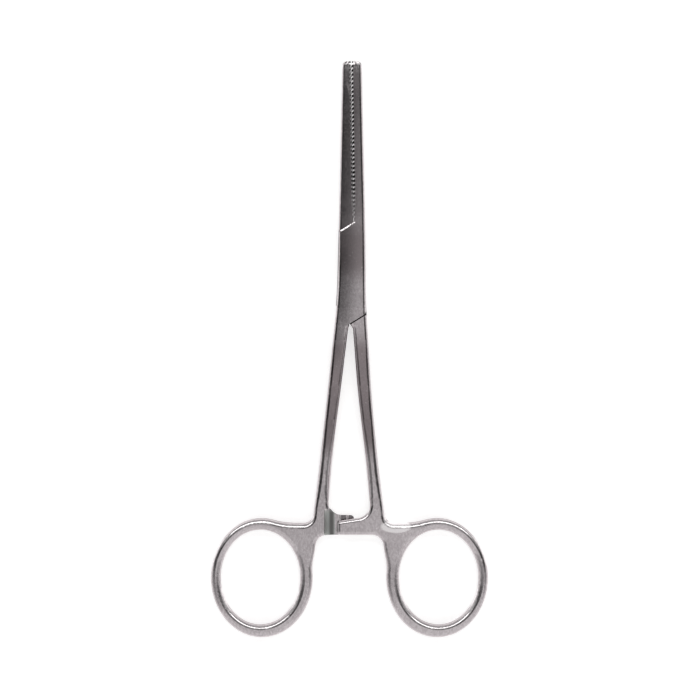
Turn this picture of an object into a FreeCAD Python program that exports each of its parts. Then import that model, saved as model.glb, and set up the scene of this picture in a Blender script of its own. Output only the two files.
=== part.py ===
import FreeCAD, Part
import math
import os

# Straight box-lock artery forceps, lying flat.
# Lengths are in millimetres. X runs across the tool, Y along it towards the jaws, Z up.
# The origin is on the pivot axis, at the underside of the box.

# Distances along the tool, from the pivot axis
jaw_reach = 58.8                # to the jaw tips
ring_reach = 101.2              # to the far edge of the finger rings
seam_reach = 14.2               # to the inner end of each seam of the box lock
serration_from_seam = 1.0       # from the inner end of the seam to the first tooth of the jaws

# Thickness at the box, the jaw tips, the shanks and the rings
box_thickness = 4.8
tip_thickness = 2.9
shank_thickness = 3.3
ring_thickness = 3.5
shank_taper_end = 36.0          # distance from the pivot at which a shank is down to its thickness
profile_blend_radius = 260.0    # long arcs that join the tapers on the side profile
profile_overrun = 1.0           # the side profile is drawn this far past the tips and the rings

# Jaws and box, half widths
jaw_tip_half_width = 2.7
jaw_middle_half_width = 3.15
jaw_root_half_width = 3.6
box_half_width = 3.8
box_flare = 0.45                # the box widens by this much where a shank leaves it
flare_above_tongue = 0.9        # from that place to the rounded end of the tongue
box_waist_place = 3.0           # distance of the place where the side starts to widen
jaw_middle_place = 36.5         # where the middle half width is measured
tip_corner_radius = 1.2
tip_facet = 1.1                 # length of the slope at the end of each flat face
tip_facet_angle = 16.0          # degrees
jaw_spare = 1.8                 # width left beyond the mating line before the jaw face is cut
root_from_seam = 2.5            # from the seam to the top of the blank round the box
edge_radius = 0.85              # rounding of the outer edges of jaws and box

# Jaw faces
mating_offset_root = 0.5        # the mating line lies this far towards the box arm's jaw at the seam
mating_offset_tip = 0.0
tooth_pitch = 1.18
tooth_depth = 0.55
box_arm_tooth_bevel = 24.0      # degrees by which the tooth tips slope down from the flat faces
inner_arm_tooth_bevel = 36.0
tooth_bevel_start = 3.0         # the slope starts this far from the inner end of the seam
tooth_bevel_reach = 2.5         # width of the sloped strip, in tooth depths
tooth_clearance = 0.04          # between the two jaws when they are shut
rest_opening = 0.35             # degrees by which the jaws stand open at rest

# Box lock
seam_drop = 2.9                 # rise of a seam from the side of the box to its inner end
wall_drop = 4.2                 # the same for the end walls of the slot
seam_half_offset = 0.7          # inner end of a seam, from the tool's axis
seam_overhang = 0.2             # outer end of a seam, beyond the half width of the box
seam_gap = 0.14                 # at the upper seam
low_seam_gap = 0.34             # at the lower seam
seat_gap = 0.2                  # beside the teeth, at the inner end of each seam
wall_gap = 0.32                 # between the tongue and the end walls of the slot
seam_bevel = 0.34               # width of the worn slope on the upper end of each cheek
seam_bevel_depth = 0.1
tongue_thickness = 1.9
tongue_side_play = 0.05         # on each face of the tongue
tongue_corner_radius = 1.1
tongue_proud = 0.14             # the tongue stands out of the side of the box by this much
cheek_proud = 0.1               # the inner arm's shank side lies this far out of the box
pin_radius = 1.25
pin_play = 0.03                 # radial, in the bore of the tongue

# Shanks, from the box down to where the ratchet bars leave them
shank_from_seam = 1.6           # the straight part starts this far below the seam
shank_to_bar = 10.1             # and ends this far above the lower edge of the bars
shank_shares = [0.0, 0.37, 0.72, 1.0]
box_arm_shank_centres = [3.05, 5.0, 6.95, 8.3]
box_arm_shank_widths = [3.9, 3.6, 3.4, 3.8]
inner_arm_shank_centres = [2.3, 3.5, 5.2, 6.6]
inner_arm_shank_widths = [4.0, 3.75, 3.4, 3.7]
shank_edge_radius = 1.1         # rounding of the edges at the lower end of a shank

# Finger rings
ring_hole_width = 22.0
ring_hole_length = 26.2
ring_band_outer = 2.75
ring_band_inner = 3.55
ring_band_top = 3.35
ring_band_bottom = 3.6
box_arm_ring_centre = 25.45     # centre of the hole, from the tool's axis
inner_arm_ring_centre = 24.05
ring_hole_radius = 1.5          # rounding of the edges of the finger holes
ring_outer_radius = 1.2         # rounding of the outer edges of the rings
shoulder_edge_radius = 1.6      # the same at the top of the ring and in the corner at the shank
ring_shoulder_radius = 2.8      # hollow corner between shank and ring
ring_throat_radius = 3.2        # hollow corner between ring and ratchet bar
throat_offset = 1.0             # from the ring to that corner
throat_lean = 4.3               # degrees by which the edge below that corner leans to the ring
crotch_lean = 0.4               # how far the crotch's edge leans, against straight to the shank
shoulder_drop = 1.35            # from the top of the ring to its shoulder
ring_top_angle = 14.0           # degrees round the ring from its top, where the shoulder joins it
ring_side_angle = 84.0          # and where the hollow below the bar joins it
ring_far_angle = 290.0          # from here to the top the rounding of its edge grows

# Ratchet
bar_from_ring_end = 28.4        # from the far edge of the rings to the lower edge of the bars
box_arm_bar_height = 5.5        # at the tip of the bar
inner_arm_bar_height = 3.9
box_arm_bar_slope = 1.0         # degrees by which the upper edge rises towards the shank
inner_arm_bar_slope = 9.0
bar_corner_radius = 1.1
bar_edge_radius = 1.0
bar_root_radius = 3.6
box_arm_bar_reach = 0.6         # how far each bar reaches across the tool's axis
inner_arm_bar_reach = 4.2
ramp_radius = 2.9               # hollow ramp where a bar steps down to half thickness
ramp_foot = 1.5                 # the ramp's foot, from the inner edge of the shank
ramp_above_bar = 1.8            # the ramp starts this far above the taller bar
ratchet_pitch = 2.1
ratchet_steep = 0.4             # width of the steep side of a ratchet tooth
ratchet_depth = 0.55
ratchet_play = 0.08             # between the tooth tips of the two bars

serration_start = seam_reach + serration_from_seam
jaw_root = seam_reach + root_from_seam
bar_bottom = ring_reach - bar_from_ring_end
box_flare_place = seam_reach - wall_drop - tongue_corner_radius - flare_above_tongue
middle = box_thickness / 2.0
far = 120.0                     # longer than anything here, for tools that cut right across
beyond = 3.0                    # how many times its own length a cut runs past a slanted line
tiny = 0.01                     # places closer than this count as the same
blend_strength = 0.36           # of a blend curve, as a share of the distance between its ends


def point(x, y, z=0.0):
    return FreeCAD.Vector(x, y, z)


def line(a, b):
    return Part.LineSegment(a, b).toShape()


def polygon_prism(points, low, high):
    """Straight prism over a polygon of (x, y) points, between two heights."""
    corners = [point(x, y, low) for x, y in points]
    wire = Part.makePolygon(corners + [corners[0]])
    return Part.Face(wire).extrude(point(0, 0, high - low))


def smooth_curve(points, start_direction, end_direction):
    """One smooth curve through the points, with given directions at its ends."""
    curve = Part.BSplineCurve()
    curve.interpolate(Points=points, InitialTangent=start_direction, FinalTangent=end_direction)
    return curve.toShape()


def blend_curve(start, start_direction, end, end_direction):
    """Curve that leaves one end and reaches the other in the given directions."""
    reach = blend_strength * (end - start).Length
    first = start + start_direction * reach
    second = end - end_direction * reach
    curve = Part.BezierCurve()
    curve.setPoles([start, first, second, end])
    return curve.toShape()


def corner_arc(before, corner, after, radius):
    """Arc that rounds a corner, with the two points where it touches the sides."""
    towards_before = (before - corner).normalize()
    towards_after = (after - corner).normalize()
    half_angle = towards_before.getAngle(towards_after) / 2.0
    reach = radius / math.tan(half_angle)
    start = corner + towards_before * reach
    end = corner + towards_after * reach
    to_centre = (towards_before + towards_after).normalize()
    bottom = corner + to_centre * (radius / math.sin(half_angle) - radius)
    return start, Part.Arc(start, bottom, end).toShape(), end


def arm_values(name):
    """The sizes in which the two arms differ."""
    if name == "box_arm":
        return {
            "centres": box_arm_shank_centres,
            "widths": box_arm_shank_widths,
            "ring": box_arm_ring_centre,
            "bar": box_arm_bar_reach,
            "bar_height": box_arm_bar_height,
            "bar_slope": box_arm_bar_slope,
            "turn": 1,
            "tooth_bevel": box_arm_tooth_bevel,
            "root_drop": seam_drop,
            "root_gap": seam_gap,
            "jaw_side": [(box_half_width, 0.0)],
            "shank_side": [
                (box_half_width + box_flare, -box_flare_place),
                (box_half_width, box_waist_place),
            ],
        }
    return {
        "centres": inner_arm_shank_centres,
        "widths": inner_arm_shank_widths,
        "ring": inner_arm_ring_centre,
        "bar": inner_arm_bar_reach,
        "bar_height": inner_arm_bar_height,
        "bar_slope": inner_arm_bar_slope,
        "turn": -1,
        "tooth_bevel": inner_arm_tooth_bevel,
        "root_drop": wall_drop,
        "root_gap": wall_gap,
        "jaw_side": [
            (box_half_width + tongue_proud, box_waist_place),
            (box_half_width + box_flare + tongue_proud, -box_flare_place),
        ],
        "shank_side": [(box_half_width + cheek_proud, -box_flare_place), (box_half_width, 0.0)],
    }


def ring_sizes(ring_centre):
    """Centre and half sizes of a ring's outer edge, an ellipse round the hole and its bands."""
    half_width = (ring_hole_width + ring_band_outer + ring_band_inner) / 2.0
    half_length = (ring_hole_length + ring_band_top + ring_band_bottom) / 2.0
    centre_x = -ring_centre + (ring_band_inner - ring_band_outer) / 2.0
    return point(centre_x, -ring_reach + half_length), half_width, half_length


def upright_ellipse(centre, half_width, half_length):
    """Ellipse that starts at its top and runs with the clock."""
    return Part.Ellipse(centre + point(0, half_length), centre + point(half_width, 0), centre)


def ellipse_point(centre, half_width, half_length, angle):
    """Place on such an ellipse and the direction of travel there."""
    place = centre + point(half_width * math.sin(angle), half_length * math.cos(angle))
    direction = point(half_width * math.cos(angle), -half_length * math.sin(angle)).normalize()
    return place, direction


def finger_hole(values):
    """The finger hole, right through."""
    half_length = ring_hole_length / 2.0
    centre = point(-values["ring"], -ring_reach + ring_band_bottom + half_length)
    ellipse = upright_ellipse(centre, ring_hole_width / 2.0, half_length)
    return Part.Face(Part.Wire(ellipse.toShape())).extrude(point(0, 0, box_thickness))


def shank_edges(values):
    """Places on the outer and the inner edge of the shank, from the box down."""
    outer = []
    inner = []
    start = seam_reach + shank_from_seam
    length = bar_bottom - shank_to_bar - start
    for share, centre, width in zip(shank_shares, values["centres"], values["widths"]):
        place = start + share * length
        outer.append(point(-centre - width / 2.0, -place))
        inner.append(point(-centre + width / 2.0, -place))
    return outer, inner


def shank_end_y(values):
    """Where the straight part of the shank ends, above the ring."""
    return shank_edges(values)[0][-1].y


def at_height(a, b, y):
    """Point on the straight line through two others at a given Y."""
    return a + (b - a) * ((y - a.y) / (b.y - a.y))


def slanted_line(turn, drop, shift):
    """Upper seam or end wall of the box lock, from its inner to its outer end.
    It is moved away from the pivot by a given shift. The lower one is its point reflection."""
    inner = point(turn * seam_half_offset, seam_reach)
    outer = point(-box_half_width - seam_overhang, seam_reach - drop)
    along = (outer - inner).normalize()
    away = point(along.y, -along.x)
    if away.y < 0:
        away = away * -1
    return inner + away * shift, outer + away * shift


def at_width(a, b, x):
    """Point on the straight line through two others at a given X."""
    return a + (b - a) * ((x - a.x) / (b.x - a.x))


def jaw_side_outline(values):
    """The jaw tip, the outside of the jaw and box, and the lower end of the box or tongue."""
    tip_inner = point(-jaw_spare, jaw_reach)
    tip_outer = point(jaw_tip_half_width, jaw_reach)
    jaw_line = point(jaw_middle_half_width, jaw_middle_place)
    start, arc, end = corner_arc(tip_inner, tip_outer, jaw_line, tip_corner_radius)
    inner, outer = slanted_line(values["turn"], values["root_drop"], -values["root_gap"] / 2.0)
    crotch = inner * -1
    side_end = at_width(crotch, outer * -1, values["jaw_side"][-1][0] + cheek_proud)
    shank_inner = shank_edges(values)[1]
    shank_top = shank_inner[0]
    down_shank = (shank_inner[1] - shank_top).normalize()
    side = [end, jaw_line, point(jaw_root_half_width, jaw_root)]
    side += [point(x, y) for x, y in values["jaw_side"]]
    down_jaw = (jaw_line - end).normalize()
    down_side = (side_end - side[-1]).normalize()
    edges = [line(tip_inner, start), arc]
    if values["turn"] == 1:
        edges.append(smooth_curve(side + [side_end], down_jaw, down_side))
        edges.append(line(side_end, crotch))
        edges.append(blend_curve(crotch, crotch_direction(crotch, shank_top), shank_top, down_shank))
        return edges
    out_start, out_arc, out_end = corner_arc(side[-1], side_end, crotch, tongue_corner_radius)
    in_start, in_arc, in_end = corner_arc(side_end, crotch, shank_top, tongue_corner_radius)
    edges.append(smooth_curve(side + [out_start], down_jaw, down_side))
    edges += [out_arc, line(out_end, in_start), in_arc]
    edges.append(blend_curve(in_end, (shank_top - crotch).normalize(), shank_top, down_shank))
    return edges


def crotch_direction(crotch, shank_top):
    """Direction in which the edge leaves the crotch: steeper than straight to the shank."""
    return point(crotch_lean * (shank_top.x - crotch.x), shank_top.y - crotch.y).normalize()


def bar_outline(values, inner):
    """The inner edge of the shank and the ratchet bar, down to the throat of the ring."""
    tip_top = point(values["bar"], values["bar_height"] - bar_bottom)
    tip_low = point(values["bar"], -bar_bottom)
    rise = (tip_top.x - inner[3].x) * math.tan(math.radians(values["bar_slope"]))
    bar_corner = at_height(inner[2], inner[3], tip_top.y + rise)
    into_bar = (bar_corner - inner[3]).normalize()
    root_start, root_arc, root_end = corner_arc(inner[3], bar_corner, tip_top, bar_root_radius)
    top_start, top_arc, top_end = corner_arc(bar_corner, tip_top, tip_low, bar_corner_radius)
    bar_foot = point(bar_corner.x, -bar_bottom)
    low_start, low_arc, low_end = corner_arc(tip_top, tip_low, bar_foot, bar_corner_radius)
    down_shank = (inner[1] - inner[0]).normalize()
    edges = [smooth_curve(inner, down_shank, into_bar)]
    edges += [line(inner[3], root_start), root_arc, line(root_end, top_start), top_arc]
    edges += [line(top_end, low_start), low_arc]
    return edges, low_end


def ring_outline(values, bar_end, outer):
    """From the lower edge of the bar round the ring and up to the shank."""
    centre, half_width, half_length = ring_sizes(values["ring"])
    throat = point(centre.x + half_width + throat_offset, -bar_bottom)
    lean = math.radians(throat_lean)
    below = throat - point(math.sin(lean), math.cos(lean)) * half_length
    side_angle = math.radians(ring_side_angle)
    top_angle = math.radians(ring_top_angle)
    ring_side, down_ring = ellipse_point(centre, half_width, half_length, side_angle)
    ring_top, along_top = ellipse_point(centre, half_width, half_length, top_angle)
    throat_start, throat_arc, throat_end = corner_arc(bar_end, throat, below, ring_throat_radius)
    edges = [line(bar_end, throat_start), throat_arc]
    edges.append(blend_curve(throat_end, (below - throat).normalize(), ring_side, down_ring))
    ellipse = upright_ellipse(centre, half_width, half_length)
    far_angle = math.radians(ring_far_angle)
    edges.append(Part.ArcOfEllipse(ellipse, side_angle, far_angle).toShape())
    edges.append(Part.ArcOfEllipse(ellipse, far_angle, 2 * math.pi + top_angle).toShape())
    shoulder_y = centre.y + half_length - shoulder_drop
    shoulder = at_height(outer[2], outer[3], shoulder_y)
    level = shoulder - point(half_width, 0)
    start, arc, end = corner_arc(level, shoulder, outer[3], ring_shoulder_radius)
    edges.append(blend_curve(ring_top, along_top, start, point(1, 0)))
    return edges + [arc, line(end, outer[3])]


def arm_outline(values):
    """Outline of one arm seen from above, with its jaw at +X and its shank at -X.
    Its jaw and the upper end of its box are left wide, for the mating faces to be cut from."""
    outer, inner = shank_edges(values)
    edges = jaw_side_outline(values)
    bar_edges, bar_end = bar_outline(values, inner)
    edges += bar_edges
    edges += ring_outline(values, bar_end, outer)
    up_shank = (outer[2] - outer[3]).normalize()
    top_side = point(-jaw_root_half_width, jaw_root)
    outer.reverse()
    side = outer + [point(-x, y) for x, y in values["shank_side"]] + [top_side]
    up_box = (top_side - side[-2]).normalize()
    edges.append(smooth_curve(side, up_shank, up_box))
    corner = point(-jaw_spare, jaw_root)
    edges += [line(top_side, corner), line(corner, point(-jaw_spare, jaw_reach))]
    return Part.Wire(Part.__sortEdges__(edges))


def side_profile():
    """The tool seen from the side: thickest at the box, thinning to the tips and the shanks."""
    ends = [
        (jaw_reach + profile_overrun, tip_thickness),
        (seam_reach, box_thickness),
        (-seam_reach, box_thickness),
        (-shank_taper_end, shank_thickness),
        (-ring_reach - profile_overrun, ring_thickness),
    ]
    upper = [point(0, y, middle + thickness / 2.0) for y, thickness in ends]
    lower = [point(0, y, middle - thickness / 2.0) for y, thickness in ends]
    lower.reverse()
    edges = []
    for side in (upper, lower):
        last = side[0]
        for before, corner, after in zip(side, side[1:], side[2:]):
            start, arc, end = corner_arc(before, corner, after, profile_blend_radius)
            edges += [line(last, start), arc]
            last = end
        edges.append(line(last, side[-1]))
    edges += [line(upper[-1], lower[0]), line(lower[-1], upper[0])]
    face = Part.Face(Part.Wire(Part.__sortEdges__(edges)))
    face.translate(point(-far / 2.0, 0, 0))
    return face.extrude(point(far, 0, 0))


def needs_rounding(edge, values):
    """True for the long edges of the blank that a grinder rounds, false where it is cut later."""
    box = edge.BoundBox
    if box.ZLength > ring_thickness / 2.0:
        return False
    place = edge.valueAt((edge.FirstParameter + edge.LastParameter) / 2.0)
    on_jaw_line = abs(place.x + jaw_spare) < tiny and place.y > seam_reach
    across_face = box.YLength < tiny and shank_end_y(values) < place.y < jaw_reach - tiny
    inner, outer = slanted_line(values["turn"], values["root_drop"], -values["root_gap"] / 2.0)
    on_line = at_width(inner * -1, outer * -1, place.x)
    on_low_end = values["turn"] == 1 and abs(place.y - on_line.y) < tiny and place.y < 0
    return not (on_jaw_line or across_face or on_low_end)


def in_hole(edge, values):
    """True for an edge of the finger hole."""
    place = edge.valueAt((edge.FirstParameter + edge.LastParameter) / 2.0)
    half_length = ring_hole_length / 2.0
    across = (place.x + values["ring"]) / (ring_hole_width / 2.0)
    along = (place.y + ring_reach - ring_band_bottom - half_length) / half_length
    return math.hypot(across, along) < 1.0 + 2.0 * tiny


def radius_at(place, values):
    """Rounding of the outer edge at a place: fuller round the ring, its shoulder and the shank."""
    centre, half_width, half_length = ring_sizes(values["ring"])
    across = (place.x - centre.x) / half_width
    along = (place.y - centre.y) / half_length
    if math.hypot(across, along) < 1.0 + tiny and along < math.cos(math.radians(ring_top_angle)) - tiny:
        return ring_outer_radius
    if place.y < shank_end_y(values) - tiny:
        return shoulder_edge_radius if place.x < centre.x + half_width else bar_edge_radius
    share = (place.y + seam_reach) / (shank_end_y(values) + seam_reach)
    return edge_radius + (shank_edge_radius - edge_radius) * min(max(share, 0.0), 1.0)


def rounded(body, edges, radius_of):
    """The body with these edges rounded, where the radius may change along an edge."""
    document = FreeCAD.newDocument("rounding")
    base = document.addObject("Part::Feature", "base")
    base.Shape = body
    fillet = document.addObject("Part::Fillet", "fillet")
    fillet.Base = base
    sizes = []
    for number, edge in enumerate(body.Edges, 1):
        if any(edge.isSame(other) for other in edges):
            first, last = (radius_of(edge.valueAt(end)) for end in edge.ParameterRange)
            sizes.append((number, first, last))
    fillet.Edges = sizes
    document.recompute()
    shape = fillet.Shape.copy()
    FreeCAD.closeDocument(document.Name)
    return shape


def arm_blank(values):
    """One arm as forged and ground: outline, side profile, finger hole and rounded edges."""
    plate = Part.Face(arm_outline(values)).extrude(point(0, 0, box_thickness))
    body = plate.common(side_profile()).cut(finger_hole(values))
    outside = [e for e in body.Edges if needs_rounding(e, values) and not in_hole(e, values)]
    body = rounded(body, outside, lambda place: radius_at(place, values))
    hole = [e for e in body.Edges if needs_rounding(e, values) and in_hole(e, values)]
    return body.makeFillet(ring_hole_radius, hole)


def jaw_face_cutter(values):
    """Everything beyond the mating line of a jaw, with the teeth across it, and beyond the
    upper end of the arm's box or tongue. Both jaws have their teeth on one zigzag line."""
    turn = values["turn"]
    root = point(turn * mating_offset_root, seam_reach)
    tip = point(turn * mating_offset_tip, jaw_reach)
    along = (tip - root).normalize()
    across = point(along.y, -along.x)
    start = at_height(root, tip, serration_start)
    count = int((jaw_reach - serration_start) / tooth_pitch)
    mating = [start]
    for number in range(2 * count):
        side = turn if number % 2 == 0 else -turn
        step = (number + 0.5) * tooth_pitch / 2.0
        mating.append(start + along * step + across * (side * tooth_depth / 2.0))
    mating.append(start + along * (count * tooth_pitch))
    mating.append(tip + along * jaw_spare)
    opening = 0.0 if turn == 1 else -rest_opening
    rotation = FreeCAD.Rotation(point(0, 0, 1), opening)
    mating = [rotation.multVec(p) + point(tooth_clearance / 2.0, 0) for p in mating]
    inner, outer = slanted_line(turn, values["root_drop"], -values["root_gap"] / 2.0)
    foot = at_width(inner, outer, mating[0].x)
    outside = inner + (outer - inner) * beyond
    corners = [outside, foot] + mating + [point(outside.x, mating[-1].y)]
    return polygon_prism([(p.x, p.y) for p in corners], 0.0, box_thickness)


def tooth_bevel_cutters(values):
    """Wedges that slope the tooth tips down from both flat faces of a jaw."""
    turn = values["turn"]
    slope = math.tan(math.radians(values["tooth_bevel"]))
    rotation = FreeCAD.Rotation(point(0, 0, 1), 0.0 if turn == 1 else -rest_opening)
    root = point(turn * mating_offset_root, seam_reach, box_thickness / 2.0)
    tip = point(turn * mating_offset_tip, jaw_reach)
    end = at_height(root, tip, jaw_reach + profile_overrun)
    end.z = tip_thickness / 2.0
    start = at_height(root, end, seam_reach + tooth_bevel_start)
    width = tooth_bevel_reach * tooth_depth
    cutters = []
    for side in (1, -1):
        wires = []
        for centre in (start, end):
            inside = centre + point((tooth_depth + tooth_clearance) / 2.0, 0)
            corners = [inside]
            corners.append(inside - point(width, 0, width * slope))
            corners.append(inside - point(width, 0, -width * slope))
            corners = [rotation.multVec(p) for p in corners]
            corners = [point(p.x, p.y, middle + side * p.z) for p in corners]
            wires.append(Part.makePolygon(corners + [corners[0]]))
        cutters.append(Part.makeLoft(wires, True, True))
    return cutters


def slot_cutter():
    """The slot through the box, between its two cheeks and its two slanted end walls."""
    inner, outer = slanted_line(-1, wall_drop, wall_gap / 2.0)
    inner.x = -inner.x
    outer.x = -outer.x
    outside = inner + (outer - inner) * beyond
    corner = point(outside.x, -inner.y)
    half = [inner, outside, corner]
    points = [(p.x, p.y) for p in half] + [(-p.x, -p.y) for p in half]
    reach = tongue_thickness / 2.0 + tongue_side_play
    return polygon_prism(points, middle - reach, middle + reach)


def cheek_seat_cutters():
    """The two recesses in the inner arm that leave its thin tongue, for the cheeks to lie in."""
    points = []
    for side, shift in ((1, seam_gap / 2.0), (-1, low_seam_gap - seam_gap / 2.0)):
        inner, outer = slanted_line(1, seam_drop, shift)
        outside = inner + (outer - inner) * beyond
        apex = at_width(inner, outer, mating_offset_root - seat_gap)
        top = serration_start - seat_gap
        half_points = [(outside.x, outside.y), (apex.x, apex.y), (apex.x, top), (-outside.x, top)]
        points += [(side * x, side * y) for x, y in half_points]
    half = tongue_thickness / 2.0
    return [
        polygon_prism(points, 0.0, middle - half),
        polygon_prism(points, middle + half, box_thickness),
    ]


def seam_bevel_cutters():
    """Thin wedges that slope the upper ends of the cheeks, on both faces of the box."""
    inner, outer = slanted_line(1, seam_drop, -seam_gap / 2.0)
    run = (outer - inner) * beyond
    back = point(run.y, -run.x).normalize() * seam_bevel
    if back.y > 0:
        back = back * -1
    cutters = []
    for face_z, depth in ((0.0, seam_bevel_depth), (box_thickness, -seam_bevel_depth)):
        top = inner + point(0, 0, face_z)
        corners = [top + back, top + point(0, 0, depth), top + point(0, 0, -depth)]
        wire = Part.makePolygon(corners + [corners[0]])
        cutters.append(Part.Face(wire).extrude(run))
    return cutters


def tip_facet_cutters():
    """Wedges that slope the end of the jaw tip down from both flat faces."""
    angle = math.radians(tip_facet_angle)
    fall = 2.0 * tip_facet * math.tan(angle)
    cutters = []
    for side in (1, -1):
        start = point(-far / 2.0, jaw_reach - tip_facet, middle + side * tip_thickness / 2.0)
        low = start + point(0, 2.0 * tip_facet, -side * fall)
        high = start + point(0, 2.0 * tip_facet, side * fall)
        wire = Part.makePolygon([start, low, high, start])
        cutters.append(Part.Face(wire).extrude(point(far, 0, 0)))
    return cutters


def pin_bore(radius):
    return Part.makeCylinder(radius, box_thickness, point(0, 0, 0))


def ratchet_cutter(values):
    """What is taken off the front of a ratchet bar: the hollow ramp, then the sawteeth.
    The teeth rise steeply away from the bar's tip, so that they hold against opening."""
    outer, inner = shank_edges(values)
    foot_x = inner[3].x + ramp_foot
    high = middle - ratchet_play / 2.0
    low = high - ratchet_depth
    tip_x = values["bar"]
    count = int((tip_x - foot_x) / ratchet_pitch)
    ramp_start = point(foot_x - ramp_radius, 0, low + ramp_radius)
    ramp_end = point(foot_x, 0, low)
    slant = math.sqrt(0.5) * ramp_radius
    ramp_middle = point(foot_x - slant, 0, low + ramp_radius - slant)
    corners = [ramp_end]
    for number in range(count, 0, -1):
        tooth_x = tip_x - number * ratchet_pitch
        corners.append(point(tooth_x, 0, low))
        corners.append(point(tooth_x + ratchet_steep, 0, high))
    corners.append(point(tip_x, 0, low))
    corners.append(point(tip_x + ratchet_pitch, 0, low))
    corners.append(point(tip_x + ratchet_pitch, 0, ramp_start.z))
    corners.append(ramp_start)
    edges = [Part.Arc(ramp_start, ramp_middle, ramp_end).toShape()]
    for a, b in zip(corners, corners[1:]):
        edges.append(line(a, b))
    face = Part.Face(Part.Wire(Part.__sortEdges__(edges)))
    height = max(box_arm_bar_height, inner_arm_bar_height) + ramp_above_bar
    face.translate(point(0, height - bar_bottom, 0))
    return face.extrude(point(0, -height - ring_throat_radius, 0))


def box_arm():
    """The arm with the box: right jaw, two cheeks, left shank and rear ratchet bar."""
    values = arm_values("box_arm")
    body = arm_blank(values)
    cutters = [jaw_face_cutter(values), slot_cutter(), ratchet_cutter(values), pin_bore(pin_radius)]
    body = body.cut(tooth_bevel_cutters(values)).cut(tip_facet_cutters())
    return body.cut(cutters + seam_bevel_cutters())


def inner_arm():
    """The arm with the tongue: left jaw, right shank and front ratchet bar."""
    values = arm_values("inner_arm")
    ratchet = ratchet_cutter(values).mirror(point(0, 0, middle), point(0, 0, 1))
    body = arm_blank(values).cut(tooth_bevel_cutters(values)).cut(tip_facet_cutters())
    body = body.cut([jaw_face_cutter(values), ratchet])
    body = body.mirror(point(0, 0, 0), point(1, 0, 0))
    return body.cut(cheek_seat_cutters() + [pin_bore(pin_radius + pin_play)])


def hinge_pin():
    """The pivot pin, pressed into the cheeks and ground flush with them."""
    return pin_bore(pin_radius)


def main():
    os.makedirs("parts", exist_ok=True)
    for name, make in (("box_arm", box_arm), ("inner_arm", inner_arm), ("hinge_pin", hinge_pin)):
        shape = make()
        solid = shape.Solids[0]
        print(name, "solids", len(shape.Solids), "valid", shape.isValid(), "mm3", round(solid.Volume, 1))
        solid.exportStep("parts/" + name + ".step")


main()
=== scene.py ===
import bpy
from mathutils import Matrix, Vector

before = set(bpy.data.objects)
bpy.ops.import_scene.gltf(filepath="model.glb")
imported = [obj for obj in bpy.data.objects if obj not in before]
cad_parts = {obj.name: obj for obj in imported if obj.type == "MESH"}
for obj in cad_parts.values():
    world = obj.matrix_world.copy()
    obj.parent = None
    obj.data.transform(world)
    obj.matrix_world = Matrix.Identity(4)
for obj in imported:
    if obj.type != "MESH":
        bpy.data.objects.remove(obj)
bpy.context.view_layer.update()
print("frame loaded:", ", ".join(sorted(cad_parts)))


# shader helpers

# a group with its vector inputs, then its number inputs; all that it puts out are numbers
def newGroup(name, vectors, numbers, outputs):
    group = bpy.data.node_groups.new(name, "ShaderNodeTree")
    for label in vectors:
        group.interface.new_socket(label, in_out="INPUT", socket_type="NodeSocketVector")
    for label in numbers:
        group.interface.new_socket(label, in_out="INPUT", socket_type="NodeSocketFloat")
    for label in outputs:
        group.interface.new_socket(label, in_out="OUTPUT", socket_type="NodeSocketFloat")
    start = group.nodes.new("NodeGroupInput")
    end = group.nodes.new("NodeGroupOutput")
    return group, start.outputs, end.inputs


def placeGroup(tree, group, values, links):
    node = tree.nodes.new("ShaderNodeGroup")
    node.node_tree = group
    for label, value in values.items():
        node.inputs[label].default_value = value
    for label, output in links.items():
        tree.links.new(output, node.inputs[label])
    return node.outputs


def addMath(tree, operation, first, second=None, clamp=False):
    node = tree.nodes.new("ShaderNodeMath")
    node.operation = operation
    node.use_clamp = clamp
    for slot, value in enumerate((first, second)):
        if value is None:
            continue
        if isinstance(value, (int, float)):
            node.inputs[slot].default_value = value
        else:
            tree.links.new(value, node.inputs[slot])
    return node.outputs[0]


def addProduct(tree, first, *others):
    total = first
    for other in others:
        total = addMath(tree, "MULTIPLY", total, other)
    return total


def addHighest(tree, first, *others):
    highest = first
    for other in others:
        highest = addMath(tree, "MAXIMUM", highest, other)
    return highest


# 1 less the value
def addRest(tree, value):
    return addMath(tree, "SUBTRACT", 1.0, value)


def addRange(tree, value, low, high, toLow=0.0, toHigh=1.0):
    node = tree.nodes.new("ShaderNodeMapRange")
    node.interpolation_type = "SMOOTHSTEP"
    tree.links.new(value, node.inputs["Value"])
    node.inputs["From Min"].default_value = low
    node.inputs["From Max"].default_value = high
    node.inputs["To Min"].default_value = toLow
    node.inputs["To Max"].default_value = toHigh
    return node.outputs["Result"]


# 1 up to one place and 0 from another, smooth between them
def addFall(tree, value, low, high):
    return addRange(tree, value, low, high, toLow=1.0, toHigh=0.0)


# 1 between two places, with soft borders, and 0 outside
def addBand(tree, value, low, high, soft):
    rise = addRange(tree, value, low - soft, low + soft)
    fall = addFall(tree, value, high - soft, high + soft)
    return addProduct(tree, rise, fall)


# the value held within a distance from 0, to both sides
def addLimit(tree, value, reach):
    held = addMath(tree, "MINIMUM", value, reach)
    return addMath(tree, "MAXIMUM", held, -reach)


# noise on a place, drawn out along each axis where its stretch is below 1
def addNoise(tree, place, scale, detail, roughness, stretch=None):
    node = tree.nodes.new("ShaderNodeTexNoise")
    if stretch is not None:
        mapping = tree.nodes.new("ShaderNodeMapping")
        mapping.inputs["Scale"].default_value = stretch
        tree.links.new(place, mapping.inputs["Vector"])
        place = mapping.outputs["Vector"]
    tree.links.new(place, node.inputs["Vector"])
    node.inputs["Detail"].default_value = detail
    node.inputs["Roughness"].default_value = roughness
    if isinstance(scale, (int, float)):
        node.inputs["Scale"].default_value = scale
    else:
        tree.links.new(scale, node.inputs["Scale"])
    return node.outputs["Fac"]


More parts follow.
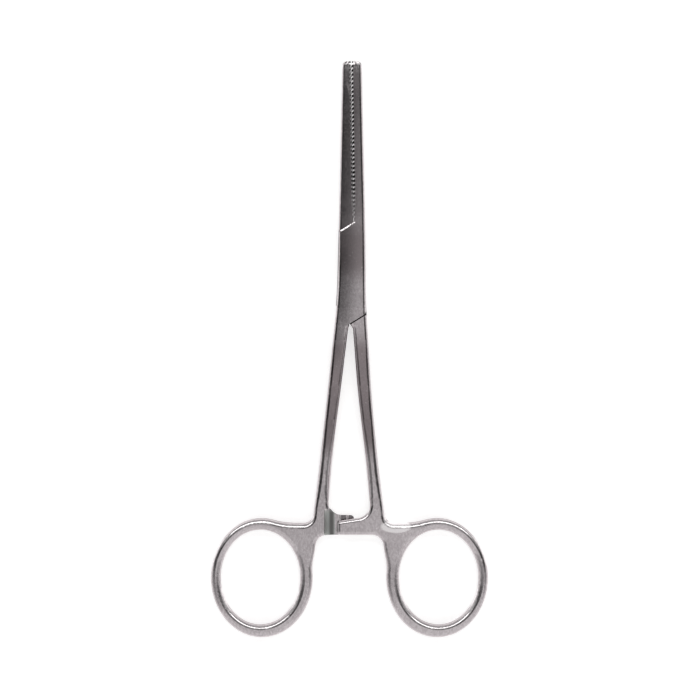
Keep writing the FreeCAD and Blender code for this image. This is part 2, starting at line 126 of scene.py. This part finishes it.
def separate(tree, vector):
    node = tree.nodes.new("ShaderNodeSeparateXYZ")
    tree.links.new(vector, node.inputs[0])
    return node.outputs


# distance along Y from a slanted line through a place
def aboveLine(tree, x, y, throughX, throughY, slope):
    rise = addProduct(tree, addMath(tree, "SUBTRACT", x, throughX), slope)
    return addMath(tree, "SUBTRACT", addMath(tree, "SUBTRACT", y, throughY), rise)


def mixColour(tree, factor, first, second):
    node = tree.nodes.new("ShaderNodeMix")
    node.data_type = "RGBA"
    tree.links.new(factor, node.inputs["Factor"])
    for slot, value in (("A", first), ("B", second)):
        socket = [s for s in node.inputs if s.name == slot and s.type == "RGBA"][0]
        if isinstance(value, tuple):
            socket.default_value = value
        else:
            tree.links.new(value, socket)
    return [s for s in node.outputs if s.type == "RGBA"][0]


# shared effects, as node groups; every place and width is in metres

# stretches are across, along and through the tool, shares are of the group's fineness, and
# detail and roughness are those of the noise
grainLook = {
    "longStretch": (1.0, 0.30, 1.0),
    "shortStretch": (0.6, 1.0, 1.0), "shortShare": 0.6,
    "hairStretch": (0.6, 0.12, 1.0), "hairShare": 0.35, "hairFrom": 0.62, "hairTo": 0.78,
    "mottleStretch": (1.0, 0.6, 1.0), "mottleShare": 0.45, "mottleFrom": 0.36, "mottleTo": 0.64,
    "detail": 2.0, "hairDetail": 1.0,
    "roughness": 0.55, "mottleRoughness": 0.7,
}


# fine lines left by the finishing belt: noise along the tool and across it, and long single hairs
def makeBeltGrain(look):
    outputs = ["Lines", "Hairs", "Mottle"]
    group, given, result = newGroup("belt grain", ["Place"], ["Fineness"], outputs)
    place = given["Place"]
    fineness = given["Fineness"]
    detail = look["detail"]
    rough = look["roughness"]
    long = addNoise(group, place, fineness, detail, rough, look["longStretch"])
    scale = addProduct(group, fineness, look["shortShare"])
    short = addNoise(group, place, scale, detail, rough, look["shortStretch"])
    # the mean of the two
    lines = addProduct(group, addMath(group, "ADD", long, short), 0.5)
    group.links.new(lines, result["Lines"])
    scale = addProduct(group, fineness, look["hairShare"])
    hairs = addNoise(group, place, scale, look["hairDetail"], rough, look["hairStretch"])
    group.links.new(addRange(group, hairs, look["hairFrom"], look["hairTo"]), result["Hairs"])
    scale = addProduct(group, fineness, look["mottleShare"])
    rough = look["mottleRoughness"]
    mottle = addNoise(group, place, scale, detail, rough, look["mottleStretch"])
    group.links.new(addRange(group, mottle, look["mottleFrom"], look["mottleTo"]), result["Mottle"])
    return group


beltGrain = makeBeltGrain(grainLook)

handlingLook = {
    "cloudDetail": 4.0, "cloudRoughness": 0.6,
    "cloudFrom": 0.35, "cloudTo": 0.68,
    "fineGain": 22.0,                       # specks and glints are this much finer
    "fineDetail": 3.0, "fineRoughness": 0.7,
    "speckFrom": 0.60, "speckTo": 0.80,
    "glintFrom": 0.24, "glintTo": 0.38,
}


# slow clouds of handling and cleaning, with dark specks and small glints
def makeHandling(look):
    outputs = ["Clouds", "Specks", "Glints"]
    group, given, result = newGroup("handling clouds", ["Place"], ["Size"], outputs)
    place = given["Place"]
    size = given["Size"]
    slow = addNoise(group, place, size, look["cloudDetail"], look["cloudRoughness"])
    group.links.new(addRange(group, slow, look["cloudFrom"], look["cloudTo"]), result["Clouds"])
    scale = addProduct(group, size, look["fineGain"])
    fine = addNoise(group, place, scale, look["fineDetail"], look["fineRoughness"])
    group.links.new(addRange(group, fine, look["speckFrom"], look["speckTo"]), result["Specks"])
    group.links.new(addFall(group, fine, look["glintFrom"], look["glintTo"]), result["Glints"])
    return group


handling = makeHandling(handlingLook)

leanLook = {
    "wall": 0.25, "face": 0.97,     # share of the normal along Z on a side wall and on a face
    "highlightFrom": 0.17, "highlightTo": 0.50, "highlightSoft": 0.06,     # share of the normal along Y on the edges that face the far lamp, which get a painted highlight
    "bevelGain": 4.0,               # brings the bevel mask to 1 at its highest
}


# how far a surface leans away from the flat faces: 0 on a face, 1 on a side wall
def makeLean(look):
    group, given, result = newGroup("lean from the face", ["Normal"], [], ["Lean", "Bevel", "FarEdgeHighlight"])
    parts = separate(group, given["Normal"])
    flat = addMath(group, "ABSOLUTE", parts["Z"])
    lean = addFall(group, flat, look["wall"], look["face"])
    group.links.new(lean, result["Lean"])
    # highest half way round an edge, where wear polishes the metal
    bevel = addProduct(group, lean, addRest(group, lean), look["bevelGain"])
    group.links.new(bevel, result["Bevel"])
    # painted highlight on the edges that face the far lamp, to whiten its reflection lines
    edge = addBand(group, parts["Y"], look["highlightFrom"], look["highlightTo"], look["highlightSoft"])
    group.links.new(edge, result["FarEdgeHighlight"])
    return group


leanFromFace = makeLean(leanLook)

crownLook = {"from": -0.030, "full": -0.004}     # places along the tool


# the box and jaws are ground very slightly crowned across: a height that falls to both sides
def makeCrown(look):
    group, given, result = newGroup("ground crown", ["Place"], ["Curve"], ["Height"])
    parts = separate(group, given["Place"])
    across = parts["X"]
    fade = addRange(group, parts["Y"], look["from"], look["full"])
    fall = addProduct(group, across, across, given["Curve"], fade)
    group.links.new(addMath(group, "SUBTRACT", 0.0, fall), result["Height"])
    return group


groundCrown = makeCrown(crownLook)

seamLook = {
    "innerX": 0.0007, "innerY": 0.0142,     # inner end of the upper seam
    "outerX": 0.0040,                       # as far as the seams reach to the sides
    "slope": 0.617,                         # rise for each length across
    "width": 0.00045, "soft": 0.00008,
    "middle": 0.0024,                       # half the thickness of the box
    "deepFrom": 0.0019, "deepTo": 0.0024,   # distance from that middle over which the dirt and painted shade fade
    "slopeWidth": 0.00055,                  # of the worn slope on the upper seam
    "gritFineness": 3200.0, "gritStretch": (1.0, 1.0, 0.3),
    "gritDetail": 2.0, "gritRoughness": 0.7,
    "gritOut": 0.56, "gritIn": 0.42,        # noise above this is a scuff, at the outer and inner end
    "gritGain": 9.0,
}


# the slanted seams of the box lock: dirt and painted shade deep in the lower one, scuffs on the slope
# of the upper one
def makeLockSeams(look):
    group, given, result = newGroup("lock seams", ["Place"], [], ["Dirt", "Scuffs"])
    place = given["Place"]
    parts = separate(group, place)
    x = parts["X"]
    y = parts["Y"]
    innerX = look["innerX"]
    innerY = look["innerY"]
    outerX = look["outerX"]
    width = look["width"]
    soft = look["soft"]
    # the lower seam is the upper one's point reflection
    above = aboveLine(group, x, y, -innerX, -innerY, look["slope"])
    across = addBand(group, x, -innerX - width, outerX, soft)
    near = addBand(group, above, -width, width, soft)
    depth = addMath(group, "ABSOLUTE", addMath(group, "SUBTRACT", parts["Z"], look["middle"]))
    deep = addFall(group, depth, look["deepFrom"], look["deepTo"])
    group.links.new(addProduct(group, near, deep, across), result["Dirt"])
    above = aboveLine(group, x, y, innerX, innerY, look["slope"])
    across = addBand(group, x, -outerX, innerX, soft)
    near = addBand(group, above, -look["slopeWidth"], 0.0, soft)
    detail = look["gritDetail"]
    rough = look["gritRoughness"]
    grit = addNoise(group, place, look["gritFineness"], detail, rough, look["gritStretch"])
    # the scuffs grow denser towards the inner end
    bar = addRange(group, x, -outerX, innerX, look["gritOut"], look["gritIn"])
    over = addMath(group, "SUBTRACT", grit, bar)
    scuffs = addMath(group, "MULTIPLY", over, look["gritGain"], clamp=True)
    group.links.new(addProduct(group, scuffs, near, across), result["Scuffs"])
    return group


lockSeams = makeLockSeams(seamLook)

toothLook = {
    "rootX": 0.0005, "rootY": 0.0152,       # where the row starts
    "lean": 0.0165,                         # it leans over to the left towards the tips
    "halfWidth": 0.00056, "soft": 0.00008,
    "fadeIn": 0.009,                        # the first teeth are faint up to this length
    "pitch": 0.00118,
    "crestPhase": 0.25,                     # place of a crest in its pitch
    "crestFrom": 0.17, "crestTo": 0.27,     # share of a pitch from the crest where it ends
}


# the row of jaw teeth: painted highlights on the crests and painted shade in the roots, once in every
# pitch
def makeToothRow(look):
    group, given, result = newGroup("tooth row", ["Place"], [], ["Crests", "RootShade"])
    parts = separate(group, given["Place"])
    fromRoot = addMath(group, "SUBTRACT", parts["Y"], look["rootY"])
    lineX = addMath(group, "SUBTRACT", look["rootX"], addProduct(group, fromRoot, look["lean"]))
    aside = addMath(group, "SUBTRACT", parts["X"], lineX)
    row = addBand(group, aside, -look["halfWidth"], look["halfWidth"], look["soft"])
    length = addRange(group, fromRoot, look["soft"], look["fadeIn"])
    phase = addMath(group, "FRACT", addMath(group, "DIVIDE", fromRoot, look["pitch"]))
    off = addMath(group, "ABSOLUTE", addMath(group, "SUBTRACT", phase, look["crestPhase"]))
    off = addMath(group, "MINIMUM", off, addRest(group, off))
    crest = addFall(group, off, look["crestFrom"], look["crestTo"])
    group.links.new(addProduct(group, crest, row, length), result["Crests"])
    group.links.new(addProduct(group, addRest(group, crest), row, length), result["RootShade"])
    return group


toothRow = makeToothRow(toothLook)

ratchetLook = {
    "low": -0.0734, "high": -0.0652,        # both ends of the ramps and the sawteeth
    "soft": 0.00012,
    "fade": 0.0016,                         # the hollow's finish fades over this, at its upper end
    # the ramp that is open above, the one that is open below, and heights where each comes in
    "frontHollow": (-0.0077, -0.0048), "frontZ": (0.0015, 0.0018),
    "backHollow": (0.0032, 0.0060), "backZ": (0.0033, 0.0030),
    "shadeStripe": (-0.0063, -0.0050), "shadeStripeSoft": 0.00045,
    "steps": (-0.0037, -0.0016), "stepWidth": 0.0006, "stepZ": (0.0017, 0.0025),
}


# the ratchet: a coarse finish in the hollow ramps, with a painted shade stripe in them, and painted
# highlights on the steps
def makeRatchetFinish(look):
    group, given, result = newGroup("ratchet finish and painted light", ["Place"], [], ["Hollow", "ShadeStripe", "Steps"])
    parts = separate(group, given["Place"])
    x = parts["X"]
    y = parts["Y"]
    z = parts["Z"]
    soft = look["soft"]
    along = addBand(group, y, look["low"], look["high"], soft)
    fade = addFall(group, y, look["high"] - look["fade"], look["high"])
    front = addBand(group, x, *look["frontHollow"], soft)
    front = addProduct(group, front, addRange(group, z, *look["frontZ"]))
    back = addBand(group, x, *look["backHollow"], soft)
    back = addProduct(group, back, addRange(group, z, *look["backZ"]))
    hollow = addProduct(group, addHighest(group, front, back), along, fade)
    group.links.new(hollow, result["Hollow"])
    shadeStripe = addBand(group, x, *look["shadeStripe"], look["shadeStripeSoft"])
    group.links.new(addProduct(group, shadeStripe, front, along, fade), result["ShadeStripe"])
    steps = []
    for place in look["steps"]:
        steps.append(addBand(group, x, place, place + look["stepWidth"], soft))
    openSide = addBand(group, z, *look["stepZ"], soft)
    group.links.new(addProduct(group, addHighest(group, *steps), along, openSide), result["Steps"])
    return group


ratchetFinish = makeRatchetFinish(ratchetLook)

tipLook = {
    "fadeFrom": 0.0550,                     # painted highlight streaks start here
    "slopeFrom": 0.0577, "soft": 0.0002,    # and the ground slope starts here
    "fineness": 3000.0, "stretch": (1.0, 0.25, 1.0),
    "detail": 2.0, "roughness": 0.6,
    "streakFrom": 0.44, "streakTo": 0.56,
    "cornerFrom": 0.0023, "cornerTo": 0.0026,
}


# streaks left by grinding the slopes at the jaw tips, painted as highlight ahead of the slopes and as
# shade on them, with painted shade at the outer corners
def makeTipStreaksAndLight(look):
    group, given, result = newGroup("tip streaks and painted light", ["Place"], [], ["Light", "PaintedShade"])
    place = given["Place"]
    parts = separate(group, place)
    x = parts["X"]
    y = parts["Y"]
    detail = look["detail"]
    streaks = addNoise(group, place, look["fineness"], detail, look["roughness"], look["stretch"])
    streaks = addRange(group, streaks, look["streakFrom"], look["streakTo"])
    light = addProduct(group, streaks, addRange(group, y, look["fadeFrom"], look["slopeFrom"]))
    group.links.new(light, result["Light"])
    corner = addRange(group, addMath(group, "ABSOLUTE", x), look["cornerFrom"], look["cornerTo"])
    dark = addHighest(group, addRest(group, streaks), corner)
    slope = addRange(group, y, look["slopeFrom"], look["slopeFrom"] + look["soft"])
    group.links.new(addProduct(group, dark, slope), result["PaintedShade"])
    return group


tipStreaksAndLight = makeTipStreaksAndLight(tipLook)

shoulderHighlightLook = {
    "centre": (0.0122, -0.0704), "halfLength": 0.0046, "halfWidth": 0.0019,
    "full": 0.6,                            # full up to this square of the share of its reach
}


# painted highlight: a light oval on the shoulder beside the right shank, polished by hand into a
# broad bevel where the far lamp's reflection spreads
def makeShoulderPatch(look):
    group, given, result = newGroup("shoulder painted highlight", ["Place"], [], ["Patch"])
    parts = separate(group, given["Place"])
    centreX, centreY = look["centre"]
    across = addMath(group, "SUBTRACT", parts["X"], centreX)
    across = addMath(group, "DIVIDE", across, look["halfLength"])
    along = addMath(group, "SUBTRACT", parts["Y"], centreY)
    along = addMath(group, "DIVIDE", along, look["halfWidth"])
    across = addProduct(group, across, across)
    along = addProduct(group, along, along)
    square = addMath(group, "ADD", across, along)
    group.links.new(addFall(group, square, look["full"], 1.0), result["Patch"])
    return group


shoulderPatch = makeShoulderPatch(shoulderHighlightLook)

# bands along the tool, and how much of the painted shade each darkened one takes
paintedShadeLook = {
    "shanks": (-0.050, -0.018), "shankShare": 0.95,
    "box": (-0.001, 0.013), "boxShare": 0.8,
    "jaws": (0.013, 0.062), "jawShare": 0.32,
    "rings": (-0.092, -0.080),
    "soft": 0.004,
}


# painted shade: the colour is darker along the shanks, in the upper half of the box and on the jaws,
# standing in for their darker reflections
def makePaintedShade(look):
    group, given, result = newGroup("painted shade along the tool", ["Place"], [], ["PaintedShade", "Rings"])
    y = separate(group, given["Place"])["Y"]
    soft = look["soft"]
    darkened = []
    for band, share in (("shanks", "shankShare"), ("box", "boxShare"), ("jaws", "jawShare")):
        darkened.append(addProduct(group, addBand(group, y, *look[band], soft), look[share]))
    group.links.new(addHighest(group, *darkened), result["PaintedShade"])
    group.links.new(addBand(group, y, *look["rings"], soft), result["Rings"])
    return group


paintedShadeAlong = makePaintedShade(paintedShadeLook)
print("finish groups made")


# satin stainless steel
steelLook = {
    # colours
    "colour": (0.555, 0.515, 0.527, 1.0),
    "cloudColour": (0.51, 0.472, 0.484, 1.0),
    "paintedShadeColour": (0.235, 0.20, 0.206, 1.0),
    "wornColour": (0.70, 0.655, 0.668, 1.0),
    "glintColour": (0.96, 0.92, 0.93, 1.0),
    "speckColour": (0.28, 0.25, 0.25, 1.0),
    "mottleColour": (0.31, 0.268, 0.28, 1.0),
    "hollowColour": (0.60, 0.62, 0.60, 1.0),
    "scuffAndShadeColour": (0.10, 0.09, 0.09, 1.0),
    "dirtAndShadeColour": (0.02, 0.018, 0.018, 1.0),
    # how much of its colour each layer gives
    "paintedShadeShare": 1.0,
    "wear": 0.7,
    "farHighlightShare": 0.9,
    "specks": 0.25,
    "mottle": 0.36,
    "glints": 0.35,
    "shoulderHighlightShare": 1.0,
    "hollowShare": 1.0,
    "shadeStripeShare": 0.8,
    "stepHighlightShare": 1.0,
    "tipHighlightShare": 0.8,
    "tipShadeShare": 0.85,
    "crestHighlightShare": 1.0,
    "rootDirt": 1.0,
    "seamScuffs": 1.0,
    "seamDirt": 1.0,
    # roughness between two places in the grain's noise, and what the marks add to it
    "lineFrom": 0.3,
    "lineTo": 0.7,
    "roughLow": 0.11,
    "roughHigh": 0.18,
    "hairRough": 0.08,
    "cloudRough": 0.05,
    "edgeRough": -0.09,
    "hollowRough": 0.42,
    "stepRough": 0.40,
    "shoulderRough": 0.15,
    "creviceRough": 0.4,
    "ringRough": 0.09,
    # fineness of the grain and the clouds, curve of the crown, and relief of the grain
    "grainFineness": 4500.0,
    "cloudSize": 90.0,
    "crown": 12.0,
    "reliefStrength": 0.12,
    "reliefDepth": 0.00002,
}


def satinSteel(name, look):
    material = bpy.data.materials.new(name)
    material.use_nodes = True
    tree = material.node_tree
    tree.nodes.clear()
    output = tree.nodes.new("ShaderNodeOutputMaterial")
    shader = tree.nodes.new("ShaderNodeBsdfPrincipled")
    tree.links.new(shader.outputs[0], output.inputs[0])
    shader.inputs["Metallic"].default_value = 1.0
    where = tree.nodes.new("ShaderNodeTexCoord")
    onPlace = {"Place": where.outputs["Object"]}
    grain = placeGroup(tree, beltGrain, {"Fineness": look["grainFineness"]}, onPlace)
    clouds = placeGroup(tree, handling, {"Size": look["cloudSize"]}, onPlace)
    lean = placeGroup(tree, leanFromFace, {}, {"Normal": where.outputs["Normal"]})
    seams = placeGroup(tree, lockSeams, {}, onPlace)
    teeth = placeGroup(tree, toothRow, {}, onPlace)
    ratchet = placeGroup(tree, ratchetFinish, {}, onPlace)
    tips = placeGroup(tree, tipStreaksAndLight, {}, onPlace)
    bandsAlong = placeGroup(tree, paintedShadeAlong, {}, onPlace)
    shoulder = placeGroup(tree, shoulderPatch, {}, onPlace)
    # colour: each layer goes over the last, from the broad painted shade to the marks of use, with
    # painted highlights and painted shade among them
    layers = [
        # painted shade: darker bands along the tool
        (bandsAlong["PaintedShade"], "paintedShadeShare", "paintedShadeColour"),
        (lean["Bevel"], "wear", "wornColour"),
        # painted highlight on the edges that face the far lamp
        (lean["FarEdgeHighlight"], "farHighlightShare", "glintColour"),
        (clouds["Specks"], "specks", "speckColour"),
        (grain["Mottle"], "mottle", "mottleColour"),
        (clouds["Glints"], "glints", "glintColour"),
        # painted highlight on the right shoulder
        (shoulder["Patch"], "shoulderHighlightShare", "glintColour"),
        (ratchet["Hollow"], "hollowShare", "hollowColour"),
        # painted shade stripe in the front hollow ramp
        (ratchet["ShadeStripe"], "shadeStripeShare", "scuffAndShadeColour"),
        # painted highlight on the ratchet steps
        (ratchet["Steps"], "stepHighlightShare", "glintColour"),
        # painted highlight ahead of the tip slopes, then painted shade on them and at their outer
        # corners
        (tips["Light"], "tipHighlightShare", "glintColour"),
        (tips["PaintedShade"], "tipShadeShare", "scuffAndShadeColour"),
        # painted highlight on the tooth crests, painted shade in their roots
        (teeth["Crests"], "crestHighlightShare", "glintColour"),
        (teeth["RootShade"], "rootDirt", "dirtAndShadeColour"),
        (seams["Scuffs"], "seamScuffs", "scuffAndShadeColour"),
        # dirt and painted shade deep in the lower lock seam
        (seams["Dirt"], "seamDirt", "dirtAndShadeColour"),
    ]
    colour = mixColour(tree, clouds["Clouds"], look["colour"], look["cloudColour"])
    for mask, share, tint in layers:
        colour = mixColour(tree, addProduct(tree, mask, look[share]), colour, look[tint])
    tree.links.new(colour, shader.inputs["Base Color"])
    # roughness: satin faces, smoother towards the rounded edges, coarser in the marks and the ramps
    rough = addRange(
        tree, grain["Lines"], look["lineFrom"], look["lineTo"], look["roughLow"], look["roughHigh"]
    )
    changes = [
        (grain["Hairs"], "hairRough"),
        (clouds["Clouds"], "cloudRough"),
        (lean["Lean"], "edgeRough"),
        (ratchet["Hollow"], "hollowRough"),
        (ratchet["Steps"], "stepRough"),
        (shoulder["Patch"], "shoulderRough"),
        (seams["Dirt"], "creviceRough"),
        (teeth["RootShade"], "creviceRough"),
        (bandsAlong["Rings"], "ringRough"),
    ]
    for mask, amount in changes:
        rough = addMath(tree, "ADD", rough, addProduct(tree, mask, look[amount]), clamp=True)
    tree.links.new(rough, shader.inputs["Roughness"])
    # the crown of the ground faces, then the grain in relief on it
    crown = placeGroup(tree, groundCrown, {"Curve": look["crown"]}, onPlace)
    shape = tree.nodes.new("ShaderNodeBump")
    shape.inputs["Distance"].default_value = 1.0
    tree.links.new(crown["Height"], shape.inputs["Height"])
    relief = tree.nodes.new("ShaderNodeBump")
    relief.inputs["Strength"].default_value = look["reliefStrength"]
    relief.inputs["Distance"].default_value = look["reliefDepth"]
    tree.links.new(grain["Lines"], relief.inputs["Height"])
    tree.links.new(shape.outputs["Normal"], relief.inputs["Normal"])
    tree.links.new(relief.outputs["Normal"], shader.inputs["Normal"])
    return material


steel = satinSteel("satin steel", steelLook)
for name in ("box_arm", "inner_arm", "hinge_pin"):
    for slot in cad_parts[name].material_slots:
        slot.material = steel
print("steel given to", len(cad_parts), "solids")


# a plain pale floor, white to the camera and in reflections, with the tool's own faint shadow
floorLook = {"size": 2.4, "colour": (0.84, 0.835, 0.83, 1.0), "whiteness": 0.54}


def makeFloor(look):
    half = look["size"] / 2.0
    corners = [(-half, -half, 0), (half, -half, 0), (half, half, 0), (-half, half, 0)]
    mesh = bpy.data.meshes.new("floor")
    mesh.from_pydata(corners, [], [(0, 1, 2, 3)])
    floor = bpy.data.objects.new("floor", mesh)
    bpy.context.scene.collection.objects.link(floor)
    material = bpy.data.materials.new("pale floor")
    material.use_nodes = True
    tree = material.node_tree
    tree.nodes.clear()
    output = tree.nodes.new("ShaderNodeOutputMaterial")
    diffuse = tree.nodes.new("ShaderNodeBsdfDiffuse")
    diffuse.inputs["Color"].default_value = look["colour"]
    glow = tree.nodes.new("ShaderNodeEmission")
    rays = tree.nodes.new("ShaderNodeLightPath").outputs
    seen = addHighest(tree, rays["Is Camera Ray"], rays["Is Glossy Ray"], rays["Is Transmission Ray"])
    tree.links.new(addProduct(tree, seen, look["whiteness"]), glow.inputs["Strength"])
    both = tree.nodes.new("ShaderNodeAddShader")
    tree.links.new(diffuse.outputs[0], both.inputs[0])
    tree.links.new(glow.outputs[0], both.inputs[1])
    tree.links.new(both.outputs[0], output.inputs[0])
    mesh.materials.append(material)


makeFloor(floorLook)


# the room: pale walls low down, a wide glow on the near side, and a dark band straight above;
# its places are parts of a direction of length 1: X to the right, Y to the far side, Z up
worldLook = {
    "dark": 0.035,                  # the band that the straight sides of the tool reflect
    "darkBand": (-0.03, 0.20),
    "darkSoft": 0.04,
    "dim": 0.38,                    # the rest of the upper room, to both sides of the band
    "low": 0.85,                    # the pale walls
    "lowFrom": 0.38,                # full up to this height
    "lowTo": 0.56,                  # and gone from this one
    "lowTilt": -1.0,                # they reach higher on the near side
    "lowTiltReach": 0.15,           # but lean only this far to the near and far side
    "farWall": 0.75,                # a pale wall at the far end
    "farFrom": 0.78,
    "farTo": 0.90,
    "panel": 1.20,                  # the glow on the near side
    "panelFrom": -0.385,            # where it starts, on the far side of straight above
    "panelTo": 0.085,               # and where it is full
    "panelGain": 3.4,               # it grows with this power
    "panelTurn": 0.75,              # it is turned, so that the right is lighter than the left
    "panelTurnReach": 0.10,         # but only this far to each side
    "panelHalf": 0.15,              # half width of its narrow end, straight above
    "panelSpread": 0.55,            # how fast it widens towards the near side
}


def addPanelGlow(tree, x, y, look):
    turn = addProduct(tree, addLimit(tree, x, look["panelTurnReach"]), look["panelTurn"])
    near = addMath(tree, "SUBTRACT", turn, y)
    aside = addMath(tree, "SUBTRACT", addMath(tree, "ABSOLUTE", x), look["panelHalf"])
    aside = addProduct(tree, addHighest(tree, aside, 0.0), look["panelSpread"])
    near = addMath(tree, "SUBTRACT", near, aside)
    near = addMath(tree, "SUBTRACT", near, look["panelFrom"])
    share = addMath(tree, "DIVIDE", near, look["panelTo"] - look["panelFrom"], clamp=True)
    return addProduct(tree, addMath(tree, "POWER", share, look["panelGain"]), look["panel"])


def addLowWalls(tree, y, z, look):
    tilt = addProduct(tree, addLimit(tree, y, look["lowTiltReach"]), look["lowTilt"])
    height = addMath(tree, "SUBTRACT", z, tilt)
    return addRange(tree, height, look["lowFrom"], look["lowTo"], look["low"], 0.0)


def makeWorld(look):
    world = bpy.data.worlds.new("studio")
    world.use_nodes = True
    bpy.context.scene.world = world
    tree = world.node_tree
    tree.nodes.clear()
    output = tree.nodes.new("ShaderNodeOutputWorld")
    background = tree.nodes.new("ShaderNodeBackground")
    where = tree.nodes.new("ShaderNodeTexCoord")
    parts = separate(tree, where.outputs["Generated"])
    x = parts["X"]
    y = parts["Y"]
    glow = addPanelGlow(tree, x, y, look)
    walls = addLowWalls(tree, y, parts["Z"], look)
    farWall = addRange(tree, y, look["farFrom"], look["farTo"], look["dark"], look["farWall"])
    band = addBand(tree, y, *look["darkBand"], look["darkSoft"])
    dim = addProduct(tree, addRest(tree, band), look["dim"])
    room = addHighest(tree, glow, walls, farWall, dim)
    # the camera sees plain white behind the floor
    camera = tree.nodes.new("ShaderNodeLightPath").outputs["Is Camera Ray"]
    others = addProduct(tree, addRest(tree, camera), room)
    tree.links.new(addMath(tree, "ADD", camera, others), background.inputs["Strength"])
    tree.links.new(background.outputs[0], output.inputs[0])


makeWorld(worldLook)


# the lamp whose reflection draws the light lines on the rounded edges
stripLook = {
    "place": (0.0, 0.52, 0.80),
    "aim": (0.0, -0.02, 0.0),
    "width": 1.5,
    "depth": 0.26,
    "power": 2.9,
}


def softBox(name, look):
    data = bpy.data.lights.new(name, "AREA")
    data.shape = "RECTANGLE"
    data.size = look["width"]
    data.size_y = look["depth"]
    data.energy = look["power"]
    lamp = bpy.data.objects.new(name, data)
    lamp.location = look["place"]
    towards = Vector(look["aim"]) - Vector(look["place"])
    lamp.rotation_euler = towards.to_track_quat("-Z", "Y").to_euler()
    lamp.visible_camera = False
    bpy.context.scene.collection.objects.link(lamp)


softBox("far strip", stripLook)


# camera straight above
cameraLook = {
    "centre": (-0.000556, -0.0214),     # the middle of the picture
    "height": 0.66,
    "middle": 0.0024,                   # half the thickness of the box
    "frameWidth": 0.1946,               # what the picture spans at the height of that middle
    "sensor": 36.0,                     # millimetres
    "clip": (0.05, 10.0),
}


def makeCamera(look):
    data = bpy.data.cameras.new("camera")
    data.sensor_width = look["sensor"]
    data.lens = look["sensor"] * (look["height"] - look["middle"]) / look["frameWidth"]
    data.clip_start, data.clip_end = look["clip"]
    camera = bpy.data.objects.new("camera", data)
    camera.location = (*look["centre"], look["height"])
    bpy.context.scene.collection.objects.link(camera)
    bpy.context.scene.camera = camera


makeCamera(cameraLook)
bpy.context.scene.view_settings.view_transform = "Standard"
print("studio ready")
